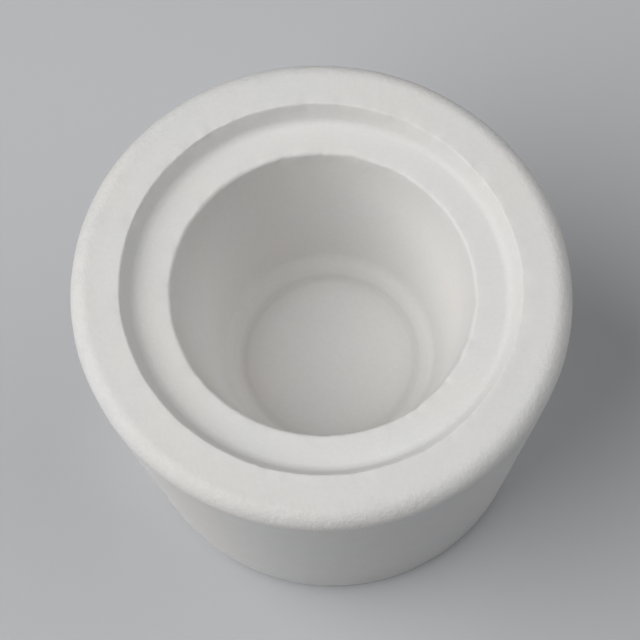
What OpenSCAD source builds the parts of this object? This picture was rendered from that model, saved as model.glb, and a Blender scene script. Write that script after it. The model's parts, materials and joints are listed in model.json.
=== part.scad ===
// Heavy-walled porcelain crucible with a stepped seat for a lid.
// The origin is the centre of the base and +Z points up, along the axis of symmetry.
// The crucible is one fired piece: a single outline turned about the axis.

/* [Body] */
// Height from the base to the flat rim
body_h = 43.5; // [32:0.5:60]
// Widest diameter, just below the rim where its rounding is fullest
rim_d = 60; // [50:0.5:80]
// Slope of the outer wall from vertical, narrowing towards the base
wall_taper = 6.7; // [0:0.1:12]

/* [Lid seat] */
// Width of the rim, from the widest diameter in to the edge of the lid seat
rim_w = 6.1; // [4:0.1:8]
// Depth of the seat's ledge below the rim
seat_depth = 2.4; // [1.6:0.1:5]
// Slope of the seat's wall from vertical, narrowing towards the ledge
seat_taper = 30; // [0:1:40]
// Width of the flat ledge that a lid rests on
ledge_w = 4.3; // [2:0.1:7]

/* [Cavity] */
// Thickness of the floor under the cavity
floor_t = 17.8; // [6:0.1:22]
// Slope of the cavity's wall from vertical, narrowing towards the floor
cavity_taper = 13.5; // [0:0.5:18]
// Height of the sloping band between the cavity's wall and its floor
band_h = 2.2; // [1:0.1:5]
// Width of that band, seen from above
band_w = 2.1; // [0.8:0.1:3]

/* [Edges] */
// Radius of the rim's outer edge
rim_round = 2.2; // [1:0.1:3.4]
// Radius of the edge around the base
base_round = 1.2; // [0.2:0.1:3]
// Radius of the upper edge of the lid seat
seat_round = 0.4; // [0.1:0.1:0.8]
// Radius in the corner between the seat's wall and its ledge
seat_fillet = 1.2; // [0.1:0.1:1.6]
// Radius of the edge between the ledge and the cavity
mouth_round = 0.6; // [0.1:0.1:1]
// Radius that blends the sloping band into the cavity's wall
band_blend = 4; // [0.2:0.1:4.5]
// Radius in the crease between the sloping band and the floor
floor_fillet = 0.4; // [0.1:0.1:0.8]

/* [Hidden] */
$fn = 128;

porcelain = [0.86, 0.85, 0.83];

// How far each arc stands past the lines it joins, so that it crosses them cleanly
arc_overlap = 0.0005;

ledge_z = body_h - seat_depth;
band_z = floor_t + band_h;

// The wall's straight line touches the rim's rounding, so it reaches past the widest
// diameter at the height of the rim, where the rounding takes its corner off
rim_r = rim_d / 2 + rim_round * (1 / cos(wall_taper) + tan(wall_taper) - 1);
base_r = rim_r - body_h * tan(wall_taper);
seat_r = rim_d / 2 - rim_w;
ledge_r = seat_r - seat_depth * tan(seat_taper);
mouth_r = ledge_r - ledge_w;
band_r = mouth_r - (ledge_z - band_z) * tan(cavity_taper);
floor_r = band_r - band_w;

// Half of the section, anticlockwise from the middle of the base: each corner's
// distance from the axis, its height and the radius that rounds it
OUTLINE = [
    [0, 0, 0],
    [base_r, 0, base_round],
    [rim_r, body_h, rim_round],
    [seat_r, body_h, seat_round],
    [ledge_r, ledge_z, seat_fillet],
    [mouth_r, ledge_z, mouth_round],
    [band_r, band_z, band_blend],
    [floor_r, floor_t, floor_fillet],
    [0, floor_t, 0],
];

function place(corner) = [corner[0], corner[1]];
function direction(from, to) = (to - from) / norm(to - from);
function turns_left(before, at, after) = cross(at - before, after - at) > 0;

// The sliver between a sharp corner and the arc that rounds it, carried on past the corner
module corner_sliver(before, at, after, radius) {
    back = direction(at, before);
    ahead = direction(at, after);
    half_angle = acos(back * ahead) / 2;
    reach = radius / tan(half_angle);
    centre = at + direction([0, 0], back + ahead) * radius / sin(half_angle);
    beyond = 2 * at - centre;
    difference() {
        polygon([beyond, at + back * reach, centre, at + ahead * reach]);
        translate(centre) circle(radius + arc_overlap);
    }
}

// The slivers at the outline's outward corners, or those at its inward ones
module slivers(corners, outward) {
    for (i = [1 : len(corners) - 2]) {
        before = place(corners[i - 1]);
        at = place(corners[i]);
        after = place(corners[i + 1]);
        if (turns_left(before, at, after) == outward)
            corner_sliver(before, at, after, corners[i][2]);
    }
}

// The outline with its outward corners cut back to their arcs and its inward ones filled
module rounded_outline(corners) {
    difference() {
        polygon([for (corner = corners) place(corner)]);
        slivers(corners, outward = true);
    }
    slivers(corners, outward = false);
}

module crucible() {
    color(porcelain) rotate_extrude() rounded_outline(OUTLINE);
}

crucible();
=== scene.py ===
import json
import math

import bpy
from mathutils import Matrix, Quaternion, Vector


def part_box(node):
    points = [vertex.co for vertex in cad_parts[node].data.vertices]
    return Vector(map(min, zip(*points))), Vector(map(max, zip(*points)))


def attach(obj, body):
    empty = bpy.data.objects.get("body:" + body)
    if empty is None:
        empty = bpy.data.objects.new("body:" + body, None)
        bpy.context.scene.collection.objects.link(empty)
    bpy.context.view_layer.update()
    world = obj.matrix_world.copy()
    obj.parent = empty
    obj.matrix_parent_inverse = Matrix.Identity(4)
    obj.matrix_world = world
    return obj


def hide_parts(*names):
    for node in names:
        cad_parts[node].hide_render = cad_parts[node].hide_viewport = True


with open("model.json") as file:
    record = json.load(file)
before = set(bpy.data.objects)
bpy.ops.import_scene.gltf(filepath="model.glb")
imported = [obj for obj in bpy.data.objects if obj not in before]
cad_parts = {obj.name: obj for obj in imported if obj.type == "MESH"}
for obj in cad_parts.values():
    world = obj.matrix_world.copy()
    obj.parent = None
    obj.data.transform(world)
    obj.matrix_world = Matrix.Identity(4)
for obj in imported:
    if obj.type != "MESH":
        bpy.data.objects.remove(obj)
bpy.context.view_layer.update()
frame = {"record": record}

MM = 0.001

# The share of a spot's radius that is at its full depth or colour
SPOT_CORE = 0.1

body_low, body_high = (Vector(corner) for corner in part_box("crucible"))


# ---------------------------------------------------------------------------
# Node trees


class Socket:
    """One output in a node tree. Arithmetic on it adds Math nodes to its tree."""

    def __init__(self, tree, socket):
        self.tree, self.socket = tree, socket

    def out(self, name):
        """Another output of the same node."""
        return Socket(self.tree, self.socket.node.outputs[name])

    def math(self, operation, *values):
        return self.tree.node("ShaderNodeMath", {"operation": operation}, *values)

    def __add__(self, other):
        return self.math("ADD", self, other)

    def __radd__(self, other):
        return self.math("ADD", other, self)

    def __sub__(self, other):
        return self.math("SUBTRACT", self, other)

    def __rsub__(self, other):
        return self.math("SUBTRACT", other, self)

    def __mul__(self, other):
        return self.math("MULTIPLY", self, other)

    def __rmul__(self, other):
        return self.math("MULTIPLY", other, self)

    def __truediv__(self, other):
        return self.math("DIVIDE", self, other)

    def __rtruediv__(self, other):
        return self.math("DIVIDE", other, self)

    def __lt__(self, other):
        return self.math("LESS_THAN", self, other)

    def __gt__(self, other):
        return self.math("GREATER_THAN", self, other)

    def floor(self):
        return self.math("FLOOR", self)

    def most(self, other):
        return self.math("MAXIMUM", self, other)


class Tree:
    """A node tree that is built one call at a time."""

    def __init__(self, nodes):
        self.nodes, self.links = nodes.nodes, nodes.links
        self.group = nodes

    def node(self, kind, settings, *values, **named):
        """Adds a node: its settings first, then its inputs by place or by name."""
        made = self.nodes.new(kind)
        for name, value in settings.items():
            if name == "choices":
                for _ in range(value - len(made.index_switch_items)):
                    made.index_switch_items.new()
            else:
                setattr(made, name, value)
        open_inputs = [socket for socket in made.inputs if socket.enabled]
        for socket, value in zip(open_inputs, values):
            self.feed(socket, value)
        for name, value in named.items():
            words = name.replace("_", " ")
            matches = [s for s in open_inputs if s.name.lower() == words]
            self.feed(matches[0], value)
        outputs = [socket for socket in made.outputs if socket.enabled]
        return Socket(self, outputs[0]) if outputs else made

    def feed(self, socket, value):
        """Links a socket to another one, or sets its constant."""
        if isinstance(value, Socket):
            self.links.new(value.socket, socket)
        else:
            socket.default_value = value

    def vector_math(self, operation, *values):
        return self.node("ShaderNodeVectorMath", {"operation": operation}, *values)

    def length(self, vector):
        return self.vector_math("LENGTH", vector).out("Value")

    def scaled(self, vector, scale):
        return self.vector_math("SCALE", vector, scale)

    def combine(self, x, y, z):
        return self.node("ShaderNodeCombineXYZ", {}, x, y, z)

    def fade(self, value, start, end, before=1.0, after=0.0):
        """Runs smoothly from one level to another while value goes from start to end."""
        settings = {"interpolation_type": "SMOOTHSTEP"}
        return self.node("ShaderNodeMapRange", settings, value, start, end, before, after)

    def noise(self, where, scale, detail=2.0, roughness=0.5):
        return self.node(
            "ShaderNodeTexNoise", {}, where, scale=scale, detail=detail, roughness=roughness
        )

    def blend(self, share, first, second):
        """A mix of two colours."""
        settings = {"data_type": "RGBA"}
        return self.node("ShaderNodeMix", settings, share, first, second)

    def height(self, where):
        return self.node("ShaderNodeSeparateXYZ", {}, where).out("Z")

    def section_place(self, where):
        """A point's place in the section, which has its radius as X and its height as -Y."""
        level = self.length(self.vector_math("MULTIPLY", where, (1, 1, 0)))
        return self.combine(level, -1.0 * self.height(where), 0.0)

    def near(self, place, corner, reach):
        """1 close to a corner of the section, falling to 0. Reach is where, in millimetres."""
        away = self.vector_math("DISTANCE", place, corner).out("Value")
        return self.fade(away, *(step * MM for step in reach))

    def edges(self, place, corners, reaches):
        """The edges inside, at the mouth and seat, and those outside, at the rim and base."""
        mouth, seat, rim, base = (
            self.near(place, corners[name], reaches[name])
            for name in ("Mouth", "Seat", "Rim", "Base")
        )
        return mouth.most(seat), rim.most(base)

    def patches(self, where, pattern, ends, least, most):
        """Patches of noise, which go from their least to their most between two noise levels."""
        return self.fade(self.noise(where, *pattern), *ends, least, most)

    def spots(self, where, scatter):
        """Round spots, 1 in the middle of each, from half to the whole of their full radius.

        Scatter is their spacing and radius in millimetres, and the share of places with one.
        """
        spacing, radius, share = scatter
        cells = self.node("ShaderNodeTexVoronoi", {}, where, scale=1 / (spacing * MM))
        draw = self.vector_math("DOT_PRODUCT", cells.out("Color"), (1, 0, 0)).out("Value")
        size = 0.5 + self.vector_math("DOT_PRODUCT", cells.out("Color"), (0, 0.5, 0)).out("Value")
        full = radius / spacing
        spot = self.fade(cells.out("Distance") / size, SPOT_CORE * full, full)
        return spot * (draw < share)


# ---------------------------------------------------------------------------
# The section of the crucible, in millimetres

HEIGHT = (body_high.z - body_low.z) / MM
WIDEST_RADIUS = (body_high.x - body_low.x) / 2 / MM
LEDGE_HEIGHT = next(
    mount["pos_m"][2] for mount in frame["record"]["mounts"] if mount["name"] == "lid_ledge"
) / MM

WALL_TAPER = math.tan(math.radians(6.7))
RIM_WIDTH = 6.1
SEAT_TAPER = math.tan(math.radians(30))
LEDGE_WIDTH = 4.3
FLOOR_THICKNESS = 17.8
CAVITY_TAPER = math.tan(math.radians(13.5))
BAND_HEIGHT = 2.2
BAND_WIDTH = 2.1
RIM_ROUND = 2.2
BASE_ROUND = 1.2
SEAT_ROUND = 0.4
SEAT_FILLET = 1.2
MOUTH_ROUND = 0.6
BAND_BLEND = 4
FLOOR_FILLET = 0.4

rim_corner = WIDEST_RADIUS + RIM_ROUND * (math.hypot(1, WALL_TAPER) + WALL_TAPER - 1)
base_corner = rim_corner - HEIGHT * WALL_TAPER
seat_corner = WIDEST_RADIUS - RIM_WIDTH
ledge_corner = seat_corner - (HEIGHT - LEDGE_HEIGHT) * SEAT_TAPER
mouth_corner = ledge_corner - LEDGE_WIDTH
band_height = FLOOR_THICKNESS + BAND_HEIGHT
band_corner = mouth_corner - (LEDGE_HEIGHT - band_height) * CAVITY_TAPER
floor_corner = band_corner - BAND_WIDTH

# Each corner of the section: its name, its radius and height, and how far it is rounded
OUTLINE = [
    ("Base centre", 0, 0, 0),
    ("Base", base_corner, 0, BASE_ROUND),
    ("Rim", rim_corner, HEIGHT, RIM_ROUND),
    ("Seat", seat_corner, HEIGHT, SEAT_ROUND),
    ("Ledge", ledge_corner, LEDGE_HEIGHT, SEAT_FILLET),
    ("Mouth", mouth_corner, LEDGE_HEIGHT, MOUTH_ROUND),
    ("Band", band_corner, band_height, BAND_BLEND),
    ("Floor", floor_corner, FLOOR_THICKNESS, FLOOR_FILLET),
    ("Floor centre", 0, FLOOR_THICKNESS, 0),
]


# How firing leaves the body: the share by which its long side outgrows a true circle, the
# angle of that side from +X, and how far the cavity stands off the axis at two heights
OUT_OF_ROUND = 0.0111
LONG_SIDE_ANGLE = 134.6
MOUTH_SHIFT = (0.2, 0, 0)
FLOOR_SHIFT = (0.5, 0.35, 0)

# How far past the mouth that shift is still whole, and the height where it starts
SHIFT_MARGIN = 1
SHIFT_START = FLOOR_THICKNESS / 2

# How the surface is worn: each kind's ripples per metre, and its depth in millimetres
MEAN_DEPTH = 0.06
WARP = (22.0, 0.16)
HAND_FINISHING = (140.0, 0.12)
SKIN = (430.0, 0.035)
EDGE_WEAR = (380.0, 0.55)
RIM_WEAR = (260.0, 0.11)

# How far wear reaches from each edge, in millimetres: full within the first, none past the second
WORN_REACH = {"Mouth": (0.3, 1.4), "Seat": (0.3, 1.2), "Rim": (1.0, 3.6), "Base": (0.4, 1.8)}

# Small flakes lost from the edges: their spacing, radius and share of places, and their depth
FLAKES = (2.2, 0.7, 0.2)
FLAKE_DEPTH = 0.1

# The crease scraped round the floor: its reach and its depth
CREASE_REACH = (0.15, 1.0)
CREASE_DEPTH = 0.1

# The height over which wear fades away towards the flat base
FLAT_BASE_REACH = 0.6

# The mesh: how many steps go round, how long the steps of the section are, and how many
# cuts a rounded corner may have
TURNS = 500
ARC_STEP = 0.2
ROW_STEP = 0.8
FEWEST_CUTS = 6.0
MOST_CUTS = 16.0
MERGE_DISTANCE = 0.001


# ---------------------------------------------------------------------------
# The turned and fired body


class BodyTree(Tree):
    """The tree that turns the outline about the axis and wears its surface."""

    def __init__(self):
        super().__init__(bpy.data.node_groups.new("Turned crucible", "GeometryNodeTree"))
        self.group.interface.new_socket("Geometry", in_out="OUTPUT", socket_type="NodeSocketGeometry")
        self.values = {}
        self.entry = self.nodes.new("NodeGroupInput")

    def size(self, name, value, kind="NodeSocketFloat"):
        """A named input and the value that it starts with."""
        made = self.group.interface.new_socket(name, in_out="INPUT", socket_type=kind)
        self.values[made.identifier] = value
        return Socket(self, self.entry.outputs[made.identifier])

    def place_size(self, name, steps):
        """A named vector input, given in millimetres."""
        return self.size(name, tuple(step * MM for step in steps), "NodeSocketVector")

    def rippled(self, where, name, wear):
        """Ripples that run evenly to both sides of 0, with their depth as a named input."""
        ripples, depth = wear
        return (self.noise(where, ripples) - 0.5) * self.size(name, depth * MM)

    def pick(self, data_type, choices):
        """The choice whose place in the list is the point's index."""
        index = self.node("GeometryNodeInputIndex", {})
        settings = {"data_type": data_type, "choices": len(choices)}
        return self.node("GeometryNodeIndexSwitch", settings, index, *choices)

    def section(self, corners, roundings, arc_step, row_step):
        """The outline as a curve in the XY plane, rounded and cut into rows."""
        places = self.pick("VECTOR", corners)
        points = self.node("GeometryNodePoints", {}, len(corners), places)
        outline = self.node("GeometryNodePointsToCurves", {}, points)
        rounding = self.pick("FLOAT", roundings)
        cuts = (rounding / arc_step).floor()
        cuts = self.node("ShaderNodeClamp", {}, cuts, FEWEST_CUTS, MOST_CUTS)
        rounded = self.node(
            "GeometryNodeFilletCurve", {"mode": "POLY"}, outline, cuts, rounding, True
        )
        here = self.node("GeometryNodeInputPosition", {})
        index = self.node("GeometryNodeInputIndex", {})
        following = self.node(
            "GeometryNodeFieldAtIndex", {"data_type": "FLOAT_VECTOR", "domain": "POINT"},
            here, index + 1,
        )
        span = self.vector_math("DISTANCE", here, following).out("Value")
        return self.node("GeometryNodeSubdivideCurve", {}, rounded, (span / row_step).floor())

    def turned(self, section, reach, turns):
        """The section turned all the way round, with its seam and poles closed."""
        inward = self.combine(-1.0 * reach, 0.0, 0.0)
        profile = self.node("GeometryNodeSetPosition", {}, section, offset=inward)
        path = self.node("GeometryNodeCurvePrimitiveCircle", {"mode": "RADIUS"}, turns, radius=reach)
        skin = self.node("GeometryNodeCurveToMesh", {}, path, profile)
        skin = self.node("GeometryNodeFlipFaces", {}, skin)
        return self.node("GeometryNodeMergeByDistance", {}, skin, distance=MERGE_DISTANCE * MM)

    def fired(self, skin):
        """The skin pulled slightly out of round, with its core leaning, as a kiln leaves it."""
        here = self.node("GeometryNodeInputPosition", {})
        pull = self.size("Out of round", OUT_OF_ROUND)
        angle = self.size("Long side angle", math.radians(LONG_SIDE_ANGLE))
        long_way = self.combine(angle.math("COSINE", angle), angle.math("SINE", angle), 0.0)
        level = self.vector_math("MULTIPLY", here, (1, 1, 0))
        along = self.scaled(long_way, self.vector_math("DOT_PRODUCT", level, long_way).out("Value"))
        across = self.vector_math("SUBTRACT", level, along)
        oval = self.scaled(self.vector_math("SUBTRACT", along, across), pull)

        height = self.height(here)
        reach = (mouth_corner + SHIFT_MARGIN) * MM
        core = self.fade(self.length(level), reach, seat_corner * MM)
        core = core * self.fade(height, SHIFT_START * MM, FLOOR_THICKNESS * MM, 0.0, 1.0)
        depth = self.fade(height, LEDGE_HEIGHT * MM, FLOOR_THICKNESS * MM, 0.0, 1.0)
        shift = self.node(
            "ShaderNodeMix", {"data_type": "VECTOR"}, depth,
            self.place_size("Mouth shift", MOUTH_SHIFT), self.place_size("Floor shift", FLOOR_SHIFT),
        )
        offset = self.vector_math("ADD", oval, self.scaled(shift, core))
        return self.node("GeometryNodeSetPosition", {}, skin, offset=offset)

    def worn(self, skin, places):
        """The skin rubbed by hand before firing, with worn and chipped edges.

        Everything sinks into the body, so its outer sizes stay, and the base stays flat.
        """
        here = self.node("GeometryNodeInputPosition", {})
        outward = self.node("GeometryNodeInputNormal", {})
        place = self.section_place(here)
        inner_edges, outer_edges = self.edges(place, places, WORN_REACH)

        sunk = self.size("Mean depth", MEAN_DEPTH * MM)
        sunk = sunk + self.rippled(here, "Warp depth", WARP)
        sunk = sunk + self.rippled(here, "Hand finishing depth", HAND_FINISHING)
        sunk = sunk + self.rippled(here, "Skin depth", SKIN)
        sunk = sunk + self.rippled(here, "Edge wear depth", EDGE_WEAR) * inner_edges
        sunk = sunk + self.rippled(here, "Rim wear depth", RIM_WEAR) * outer_edges
        flakes = self.spots(here, FLAKES) * inner_edges.most(outer_edges)
        sunk = sunk + flakes * self.size("Flake depth", FLAKE_DEPTH * MM)
        crease = self.near(place, places["Floor"], CREASE_REACH)
        sunk = sunk + crease * self.size("Floor crease depth", CREASE_DEPTH * MM)
        lifted = self.fade(self.height(here), 0.0, FLAT_BASE_REACH * MM, 0.0, 1.0)
        offset = self.scaled(outward, -1.0 * sunk.most(0.0) * lifted)
        return self.node("GeometryNodeSetPosition", {}, skin, offset=offset)


def crucible_tree():
    """The outline's sizes as named inputs, then its section turned, worn and fired."""
    tree = BodyTree()
    corners, roundings, places = [], [], {}
    for name, radius, height, rounding in OUTLINE:
        across = tree.size(f"{name} radius", radius * MM)
        up = tree.size(f"{name} height", height * MM)
        corners.append(tree.combine(across, -1.0 * up, 0.0))
        places[name] = corners[-1]
        roundings.append(tree.size(f"{name} rounding", rounding * MM))
    turns = tree.size("Turns", TURNS, "NodeSocketInt")
    arc_step = tree.size("Arc step", ARC_STEP * MM)
    row_step = tree.size("Row step", ROW_STEP * MM)
    finish = tree.size("Finish", porcelain(), "NodeSocketMaterial")

    section = tree.section(corners, roundings, arc_step, row_step)
    body = tree.turned(section, tree.size("Path radius", WIDEST_RADIUS * MM), turns)
    body = tree.worn(body, places)
    body = tree.fired(body)
    body = tree.node("GeometryNodeSetShadeSmooth", {}, body)
    body = tree.node("GeometryNodeRealizeInstances", {}, body)
    body = tree.node("GeometryNodeSetMaterial", {}, body, material=finish)
    tree.links.new(body.socket, tree.nodes.new("NodeGroupOutput").inputs[0])
    return tree


def grown(name, tree):
    """Runs a geometry tree on an empty mesh and keeps its result as a plain mesh."""
    seed = bpy.data.objects.new(name + "_seed", bpy.data.meshes.new(name + "_seed"))
    bpy.context.scene.collection.objects.link(seed)
    modifier = seed.modifiers.new("Turned", "NODES")
    modifier.node_group = tree.group
    for identifier, value in tree.values.items():
        modifier[identifier] = value
    ready = seed.evaluated_get(bpy.context.evaluated_depsgraph_get())
    mesh = bpy.data.meshes.new_from_object(ready)
    bpy.data.objects.remove(seed)
    piece = bpy.data.objects.new(name, mesh)
    bpy.context.scene.collection.objects.link(piece)
    return piece


# ---------------------------------------------------------------------------
# Finishes

COOL_BODY = (0.711, 0.712, 0.706, 1)
WARM_BODY = (0.732, 0.712, 0.694, 1)
PALE_GRAIN = (0.765, 0.757, 0.744, 1)
GREY_RUB = (0.61, 0.61, 0.608, 1)
# The dark tone of the painted shade in the crease round the floor and in the pits
PAINTED_SHADE = (0.42, 0.39, 0.36, 1)
BENCH = (0.51, 0.52, 0.54, 1)
BENCH_ROUGHNESS = 0.7

# Noise patterns: how many features a metre has, then their detail and roughness
CLOUDS = (85.0, 3.0)
SPECKLE = (1900.0, 2.0, 0.6)
RUBBING = (320.0, 4.0, 0.75)
DULLNESS = (300.0, 3.0)
GRAIN = (1500.0, 3.0, 0.6)
SAND = (4200.0, 1.0)
TOOLING = (1300.0, 1.0)
EDGE_GRAIN = (1700.0, 4.0, 0.75)

# The levels of noise between which a pattern goes from none to its most
CLOUD_ENDS = (0.32, 0.68)
SPECKLE_ENDS = (0.35, 0.65)
RUBBING_ENDS = (0.46, 0.66)
DULLNESS_ENDS = (0.3, 0.7)

# Scattered pits: their spacing, radius and share of places
PITS = (2.6, 0.16, 0.22)

# How far the finish of each edge reaches from it, in millimetres
RUBBED_REACH = {"Mouth": (0.4, 1.5), "Seat": (0.4, 1.4), "Rim": (1.4, 4.0), "Base": (0.6, 2.2)}
# How far the painted shade reaches from the floor's corner: first the crease line, then the softer
# band
CREASE_SHADE_REACH = (0.1, 0.9)
HOLLOW_SHADE_REACH = (0.4, 3.0)

# How much of each colour shows where it is strongest
SPECKLE_SHARE = 0.35
RUBBING_SHARE = 0.25
PALE_EDGE_SHARE = 0.2
# The next three shares are painted shade: the crease line, the band beside it and the pits
CREASE_SHADE_SHARE = 0.16
HOLLOW_SHADE_SHARE = 0.08
PIT_SHARE = 0.3

# Sheen: the least and most roughness of the body, and how much smoother its edges are
LEAST_ROUGHNESS = 0.58
MOST_ROUGHNESS = 0.74
EDGE_POLISH = 0.08
REFLECTION = 0.4

# Relief: how high each pattern stands, as a share of the depth in millimetres
RELIEF_DEPTH = 0.06
RELIEF_STRENGTH = 0.8
GRAIN_RELIEF = 0.5
SAND_RELIEF = 0.25
TOOLING_RELIEF = 0.16
PIT_RELIEF = 0.8
EDGE_RELIEF = 2.6


def new_finish(name):
    material = bpy.data.materials.new(name)
    material.use_nodes = True
    tree = Tree(material.node_tree)
    shader = next(node for node in tree.nodes if node.type == "BSDF_PRINCIPLED")
    return material, tree, shader


def section_corner(name):
    """A named corner of the section, where section_place puts it."""
    radius, height = next(corner[1:3] for corner in OUTLINE if corner[0] == name)
    return radius * MM, -height * MM, 0


def porcelain():
    """Unglazed fired porcelain: faint mottling, a pressed grain, rubbed and flaked edges."""
    material, tree, shader = new_finish("porcelain")
    here = tree.node("ShaderNodeTexCoord", {}).out("Object")
    place = tree.section_place(here)
    corners = {name: section_corner(name) for name, *_ in OUTLINE}
    inner_edges, outer_edges = tree.edges(place, corners, RUBBED_REACH)

    # Colour: warm and cool clouds, a fine speckle, grey rubbing outside and paler edges inside
    clouds = tree.patches(here, CLOUDS, CLOUD_ENDS, 0.0, 1.0)
    colour = tree.blend(clouds, COOL_BODY, WARM_BODY)
    speckle = tree.patches(here, SPECKLE, SPECKLE_ENDS, 0.0, SPECKLE_SHARE)
    colour = tree.blend(speckle, colour, PALE_GRAIN)
    rubbing = tree.patches(here, RUBBING, RUBBING_ENDS, 0.0, RUBBING_SHARE)
    colour = tree.blend(rubbing * outer_edges, colour, GREY_RUB)
    colour = tree.blend(inner_edges * PALE_EDGE_SHARE, colour, PALE_GRAIN)

    # Painted shade: a dark line in the crease round the floor and a softer painted shade over the
    # band beside it, measured from the floor's own centre
    floor_centre = tuple(step * MM for step in FLOOR_SHIFT)
    floor_place = tree.section_place(tree.vector_math("SUBTRACT", here, floor_centre))
    painted_crease_shade = tree.near(floor_place, corners["Floor"], CREASE_SHADE_REACH)
    painted_hollow_shade = tree.near(floor_place, corners["Floor"], HOLLOW_SHADE_REACH)
    colour = tree.blend(painted_crease_shade * CREASE_SHADE_SHARE + painted_hollow_shade * HOLLOW_SHADE_SHARE, colour, PAINTED_SHADE)
    # Painted shade in each pit, which the relief below also sinks
    pits = tree.spots(here, PITS)
    colour = tree.blend(pits * PIT_SHARE, colour, PAINTED_SHADE)
    tree.feed(shader.inputs["Base Color"], colour)

    # Sheen: dull in patches, a little closer where hands and lids have rubbed
    dullness = tree.patches(here, DULLNESS, DULLNESS_ENDS, LEAST_ROUGHNESS, MOST_ROUGHNESS)
    edges = inner_edges.most(outer_edges)
    tree.feed(shader.inputs["Roughness"], dullness - EDGE_POLISH * edges)
    tree.feed(shader.inputs["Specular IOR Level"], REFLECTION)

    # Surface: pressed grain, rings from the tool that turned it, open pits, sandy outer edges
    relief = tree.noise(here, *GRAIN) * GRAIN_RELIEF
    relief = relief + tree.noise(here, *SAND) * SAND_RELIEF
    relief = relief + tree.noise(place, *TOOLING) * TOOLING_RELIEF
    relief = relief - pits * PIT_RELIEF
    relief = relief + outer_edges * tree.noise(here, *EDGE_GRAIN) * EDGE_RELIEF
    bump = tree.node(
        "ShaderNodeBump", {}, strength=RELIEF_STRENGTH, distance=RELIEF_DEPTH * MM, height=relief
    )
    tree.feed(shader.inputs["Normal"], bump)
    return material


def bench():
    """The plain pale surface that the crucible stands on."""
    material, tree, shader = new_finish("bench")
    tree.feed(shader.inputs["Base Color"], BENCH)
    tree.feed(shader.inputs["Roughness"], BENCH_ROUGHNESS)
    return material


# ---------------------------------------------------------------------------
# The stage: floor, light and camera

FLOOR_RADIUS = 3.0
FLOOR_STEPS = 96

KEY_COLOUR = (1.0, 0.994, 0.984)
FILL_COLOUR = (1.0, 0.998, 0.993)
ROOM_COLOUR = (0.95, 0.97, 1.0, 1)
ROOM_STRENGTH = 0.06

# The camera looks at a point this far left of the axis and below the rim, in millimetres
AIM_LEFT = 0.38
AIM_DEPTH = 11.6
CAMERA_ELEVATION = 68.25
CAMERA_DISTANCE = 307.3
CAMERA_ROLL = -4.88
LENS = 140.6
SENSOR_WIDTH = 36.0
CLIP_START = 0.01
CLIP_END = 20.0


def make_floor():
    turns = [math.tau * i / FLOOR_STEPS for i in range(FLOOR_STEPS)]
    rim = [
        (FLOOR_RADIUS * math.cos(turn), FLOOR_RADIUS * math.sin(turn), body_low.z)
        for turn in turns
    ]
    mesh = bpy.data.meshes.new("floor")
    mesh.from_pydata(rim, [], [tuple(range(FLOOR_STEPS))])
    mesh.materials.append(bench())
    floor = bpy.data.objects.new("floor", mesh)
    bpy.context.scene.collection.objects.link(floor)


def face_towards(thing, target, roll=0.0):
    """Turns a lamp or camera to look at a point, then rolls it about its line of sight."""
    look = (target - thing.location).to_track_quat("-Z", "Y")
    thing.rotation_mode = "QUATERNION"
    thing.rotation_quaternion = look @ Quaternion((0, 0, 1), math.radians(roll))


def around(centre, azimuth, elevation, distance):
    """A point at a distance from centre: azimuth 0 is in front and 90 is on the right."""
    turn, lift = math.radians(azimuth), math.radians(elevation)
    level = math.cos(lift)
    return centre + distance * Vector(
        (math.sin(turn) * level, -math.cos(turn) * level, math.sin(lift))
    )


def make_lamp(name, azimuth, elevation, distance, width, power, colour):
    lamp = bpy.data.lights.new(name, "AREA")
    lamp.shape = "DISK"
    lamp.size, lamp.energy, lamp.color = width, power, colour
    thing = bpy.data.objects.new(name, lamp)
    bpy.context.scene.collection.objects.link(thing)
    centre = (body_low + body_high) / 2
    thing.location = around(centre, azimuth, elevation, distance)
    face_towards(thing, centre)


def make_light():
    make_lamp(
        "key", azimuth=-82, elevation=46, distance=1.0, width=1.2, power=11.1, colour=KEY_COLOUR
    )
    make_lamp(
        "fill", azimuth=97, elevation=50, distance=1.5, width=1.65, power=8.0, colour=FILL_COLOUR
    )
    world = bpy.data.worlds.new("studio")
    world.use_nodes = True
    backdrop = world.node_tree.nodes["Background"]
    backdrop.inputs["Color"].default_value = ROOM_COLOUR
    backdrop.inputs["Strength"].default_value = ROOM_STRENGTH
    bpy.context.scene.world = world
    bpy.context.scene.view_settings.view_transform = "Standard"


def make_camera():
    camera = bpy.data.cameras.new("camera")
    camera.lens, camera.sensor_width = LENS, SENSOR_WIDTH
    camera.clip_start, camera.clip_end = CLIP_START, CLIP_END
    thing = bpy.data.objects.new("camera", camera)
    bpy.context.scene.collection.objects.link(thing)
    aim = Vector((-AIM_LEFT * MM, 0, body_high.z - AIM_DEPTH * MM))
    thing.location = around(aim, 0, CAMERA_ELEVATION, CAMERA_DISTANCE * MM)
    thing.location.x = 0
    face_towards(thing, aim, CAMERA_ROLL)
    bpy.context.scene.camera = thing


make_camera()
make_light()
make_floor()

body = grown("crucible_body", crucible_tree())
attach(body, "root")
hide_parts("crucible")
